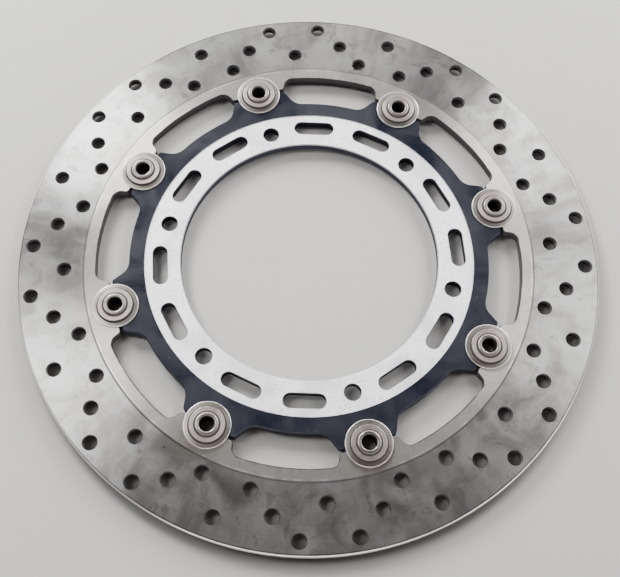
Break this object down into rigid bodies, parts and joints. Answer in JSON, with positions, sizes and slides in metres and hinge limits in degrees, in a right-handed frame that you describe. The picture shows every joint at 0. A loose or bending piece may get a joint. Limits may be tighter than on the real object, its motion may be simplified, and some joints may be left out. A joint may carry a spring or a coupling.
{
  "type": "brake disc rotor",
  "caption": "Floating motorcycle brake disc: a drilled steel friction ring held to an anodised aluminium carrier by hollow bobbins with dished spring washers and plain washers.",
  "frame": {"origin": "centre of the carrier's bore and bolt circle, in the plane of the hub seat at the back of the carrier", "axes": "+Z along the wheel axle towards the outer face, where the bobbins' rolled lips are; +Y through bobbin 1, which is in line with a bolt hole; +X completes a right-handed frame"},
  "size_m": [0.298, 0.298, 0.0099],
  "materials": {
    "ring_steel": "ground stainless steel, worn satin",
    "carrier_alloy": "dark blue-black anodised, with the hub seats machined bare",
    "bobbin_steel": "plated steel, satin",
    "spring_washer_steel": "plated spring steel, satin",
    "plain_washer_steel": "plated steel, satin"
  },
  "bodies": {
    "carrier": {"carrier": "carrier_alloy"},
    "ring": {"rotor_ring": "ring_steel"},
    "bobbin_1_stack": {"bobbin_1": "bobbin_steel", "spring_washer_1": "spring_washer_steel", "plain_washer_1": "plain_washer_steel"},
    "bobbin_2_stack": {"bobbin_2": "bobbin_steel", "spring_washer_2": "spring_washer_steel", "plain_washer_2": "plain_washer_steel"},
    "bobbin_3_stack": {"bobbin_3": "bobbin_steel", "spring_washer_3": "spring_washer_steel", "plain_washer_3": "plain_washer_steel"},
    "bobbin_4_stack": {"bobbin_4": "bobbin_steel", "spring_washer_4": "spring_washer_steel", "plain_washer_4": "plain_washer_steel"},
    "bobbin_5_stack": {"bobbin_5": "bobbin_steel", "spring_washer_5": "spring_washer_steel", "plain_washer_5": "plain_washer_steel"},
    "bobbin_6_stack": {"bobbin_6": "bobbin_steel", "spring_washer_6": "spring_washer_steel", "plain_washer_6": "plain_washer_steel"},
    "bobbin_7_stack": {"bobbin_7": "bobbin_steel", "spring_washer_7": "spring_washer_steel", "plain_washer_7": "plain_washer_steel"},
    "bobbin_8_stack": {"bobbin_8": "bobbin_steel", "spring_washer_8": "spring_washer_steel", "plain_washer_8": "plain_washer_steel"}
  },
  "joints": [
    {"name": "ring_float", "type": "slide", "parent": "carrier", "child": "ring", "axis": [0, 0, 1], "range_m": [-0.00025, 0.00025]},
    {"name": "bobbin_1_turn", "type": "hinge", "parent": "carrier", "child": "bobbin_1_stack", "pos_m": [0, 0.101, 0.0025], "axis": [0, 0, 1], "continuous": true},
    {"name": "bobbin_2_turn", "type": "hinge", "parent": "carrier", "child": "bobbin_2_stack", "pos_m": [0.07142, 0.07142, 0.0025], "axis": [0, 0, 1], "continuous": true},
    {"name": "bobbin_3_turn", "type": "hinge", "parent": "carrier", "child": "bobbin_3_stack", "pos_m": [0.101, 0, 0.0025], "axis": [0, 0, 1], "continuous": true},
    {"name": "bobbin_4_turn", "type": "hinge", "parent": "carrier", "child": "bobbin_4_stack", "pos_m": [0.07142, -0.07142, 0.0025], "axis": [0, 0, 1], "continuous": true},
    {"name": "bobbin_5_turn", "type": "hinge", "parent": "carrier", "child": "bobbin_5_stack", "pos_m": [0, -0.101, 0.0025], "axis": [0, 0, 1], "continuous": true},
    {"name": "bobbin_6_turn", "type": "hinge", "parent": "carrier", "child": "bobbin_6_stack", "pos_m": [-0.07142, -0.07142, 0.0025], "axis": [0, 0, 1], "continuous": true},
    {"name": "bobbin_7_turn", "type": "hinge", "parent": "carrier", "child": "bobbin_7_stack", "pos_m": [-0.101, 0, 0.0025], "axis": [0, 0, 1], "continuous": true},
    {"name": "bobbin_8_turn", "type": "hinge", "parent": "carrier", "child": "bobbin_8_stack", "pos_m": [-0.07142, 0.07142, 0.0025], "axis": [0, 0, 1], "continuous": true}
  ]
}
